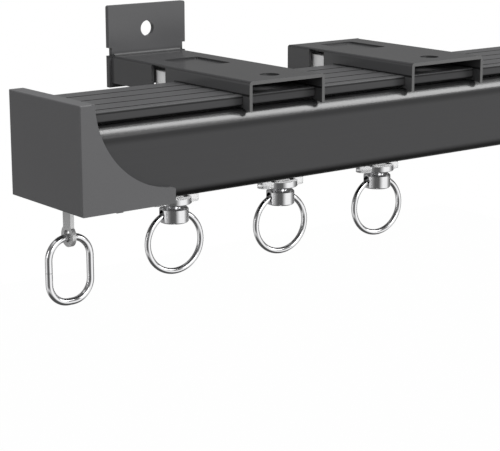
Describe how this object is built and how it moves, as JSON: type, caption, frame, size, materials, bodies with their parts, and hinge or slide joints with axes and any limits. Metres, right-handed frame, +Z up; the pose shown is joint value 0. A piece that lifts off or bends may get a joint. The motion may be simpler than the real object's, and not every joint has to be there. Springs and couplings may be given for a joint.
{
  "type": "curtain track",
  "caption": "Straight curtain track with a curved valance face, end caps with oval rings, clip-on wall and ceiling brackets and roller gliders that carry swivel rings.",
  "frame": {"origin": "centre of the wall bracket's screw hole, on the wall face of its plate", "axes": "+X along the track to the right as seen from the room, +Y into the wall, +Z up"},
  "size_m": [0.3, 0.0885, 0.0923],
  "materials": {
    "rail_metal": "satin",
    "cap_plastic": "satin",
    "bracket_steel": "satin",
    "hook_steel": "satin",
    "lever_metal": "satin",
    "nylon": "satin",
    "wheel_nylon": "satin",
    "barrel_chrome": "polished",
    "ring_chrome": "polished"
  },
  "bodies": {
    "track": {"track_rail": "rail_metal", "end_cap_left": "cap_plastic", "end_cap_right": "cap_plastic", "cap_hook_left": "hook_steel", "cap_hook_right": "hook_steel", "wall_bracket": "bracket_steel", "ceiling_bracket": "bracket_steel", "lever_stud_wall": "hook_steel", "lever_stud_ceiling": "hook_steel", "lever_washer_wall": "hook_steel", "lever_washer_ceiling": "hook_steel"},
    "left_oval": {"cap_ring_left": "ring_chrome"},
    "right_oval": {"cap_ring_right": "ring_chrome"},
    "wall_lever": {"lock_lever_wall": "lever_metal"},
    "ceiling_lever": {"lock_lever_ceiling": "lever_metal"},
    "glider_1": {"carriage_1": "nylon", "collar_1": "barrel_chrome"},
    "wheels_1": {"wheel_front_1": "wheel_nylon", "wheel_rear_1": "wheel_nylon", "axle_1": "hook_steel"},
    "swivel_body_1": {"swivel_1": "barrel_chrome"},
    "ring_body_1": {"ring_1": "ring_chrome"},
    "glider_2": {"carriage_2": "nylon", "collar_2": "barrel_chrome"},
    "wheels_2": {"wheel_front_2": "wheel_nylon", "wheel_rear_2": "wheel_nylon", "axle_2": "hook_steel"},
    "swivel_body_2": {"swivel_2": "barrel_chrome"},
    "ring_body_2": {"ring_2": "ring_chrome"},
    "glider_3": {"carriage_3": "nylon", "collar_3": "barrel_chrome"},
    "wheels_3": {"wheel_front_3": "wheel_nylon", "wheel_rear_3": "wheel_nylon", "axle_3": "hook_steel"},
    "swivel_body_3": {"swivel_3": "barrel_chrome"},
    "ring_body_3": {"ring_3": "ring_chrome"},
    "glider_4": {"carriage_4": "nylon", "collar_4": "barrel_chrome"},
    "wheels_4": {"wheel_front_4": "wheel_nylon", "wheel_rear_4": "wheel_nylon", "axle_4": "hook_steel"},
    "swivel_body_4": {"swivel_4": "barrel_chrome"},
    "ring_body_4": {"ring_4": "ring_chrome"}
  },
  "joints": [
    {"name": "glide_1", "type": "slide", "parent": "track", "child": "glider_1", "axis": [1, 0, 0], "range_m": [-0.0074, 0.0115]},
    {"name": "roll_1", "type": "hinge", "parent": "glider_1", "child": "wheels_1", "pos_m": [-0.0314, -0.0636, -0.0331], "axis": [0, 1, 0], "continuous": true},
    {"name": "turn_1", "type": "hinge", "parent": "glider_1", "child": "swivel_body_1", "pos_m": [-0.0314, -0.0636, -0.0529], "axis": [0, 0, 1], "continuous": true},
    {"name": "swing_1", "type": "hinge", "parent": "swivel_body_1", "child": "ring_body_1", "pos_m": [-0.0314, -0.0636, -0.05717], "axis": [0.9962, -0.0872, 0], "range_deg": [-75, 75]},
    {"name": "glide_2", "type": "slide", "parent": "track", "child": "glider_2", "axis": [1, 0, 0], "range_m": [-0.0115, 0.0115]},
    {"name": "roll_2", "type": "hinge", "parent": "glider_2", "child": "wheels_2", "pos_m": [0.0162, -0.0636, -0.0331], "axis": [0, 1, 0], "continuous": true},
    {"name": "turn_2", "type": "hinge", "parent": "glider_2", "child": "swivel_body_2", "pos_m": [0.0162, -0.0636, -0.0529], "axis": [0, 0, 1], "continuous": true},
    {"name": "swing_2", "type": "hinge", "parent": "swivel_body_2", "child": "ring_body_2", "pos_m": [0.0162, -0.0636, -0.05717], "axis": [0.9962, -0.0872, 0], "range_deg": [-75, 75]},
    {"name": "glide_3", "type": "slide", "parent": "track", "child": "glider_3", "axis": [1, 0, 0], "range_m": [-0.0115, 0.0375]},
    {"name": "roll_3", "type": "hinge", "parent": "glider_3", "child": "wheels_3", "pos_m": [0.0638, -0.0636, -0.0331], "axis": [0, 1, 0], "continuous": true},
    {"name": "turn_3", "type": "hinge", "parent": "glider_3", "child": "swivel_body_3", "pos_m": [0.0638, -0.0636, -0.0529], "axis": [0, 0, 1], "continuous": true},
    {"name": "swing_3", "type": "hinge", "parent": "swivel_body_3", "child": "ring_body_3", "pos_m": [0.0638, -0.0636, -0.05717], "axis": [0.9962, -0.0872, 0], "range_deg": [-75, 75]},
    {"name": "glide_4", "type": "slide", "parent": "track", "child": "glider_4", "axis": [1, 0, 0], "range_m": [-0.0375, 0.0074]},
    {"name": "roll_4", "type": "hinge", "parent": "glider_4", "child": "wheels_4", "pos_m": [0.1634, -0.0636, -0.0331], "axis": [0, 1, 0], "continuous": true},
    {"name": "turn_4", "type": "hinge", "parent": "glider_4", "child": "swivel_body_4", "pos_m": [0.1634, -0.0636, -0.0529], "axis": [0, 0, 1], "continuous": true},
    {"name": "swing_4", "type": "hinge", "parent": "swivel_body_4", "child": "ring_body_4", "pos_m": [0.1634, -0.0636, -0.05717], "axis": [0.9962, -0.0872, 0], "range_deg": [-75, 75]},
    {"name": "swing_left_oval", "type": "hinge", "parent": "track", "child": "left_oval", "pos_m": [-0.07427, -0.0636, -0.05925], "axis": [1, 0, 0], "range_deg": [-75, 75]},
    {"name": "swing_right_oval", "type": "hinge", "parent": "track", "child": "right_oval", "pos_m": [0.20627, -0.0636, -0.05925], "axis": [1, 0, 0], "range_deg": [-75, 75]},
    {"name": "open_wall_lever", "type": "hinge", "parent": "track", "child": "wall_lever", "pos_m": [0, -0.034, -0.0157], "axis": [0, 0, -1], "range_deg": [0, 90]},
    {"name": "open_ceiling_lever", "type": "hinge", "parent": "track", "child": "ceiling_lever", "pos_m": [0.07645, -0.034, -0.0157], "axis": [0, 0, -1], "range_deg": [0, 90]}
  ],
  "couplings": [
    {"joint": "roll_1", "follows": "glide_1", "rad_per_m": 90.909},
    {"joint": "roll_2", "follows": "glide_2", "rad_per_m": 90.909},
    {"joint": "roll_3", "follows": "glide_3", "rad_per_m": 90.909},
    {"joint": "roll_4", "follows": "glide_4", "rad_per_m": 90.909}
  ]
}
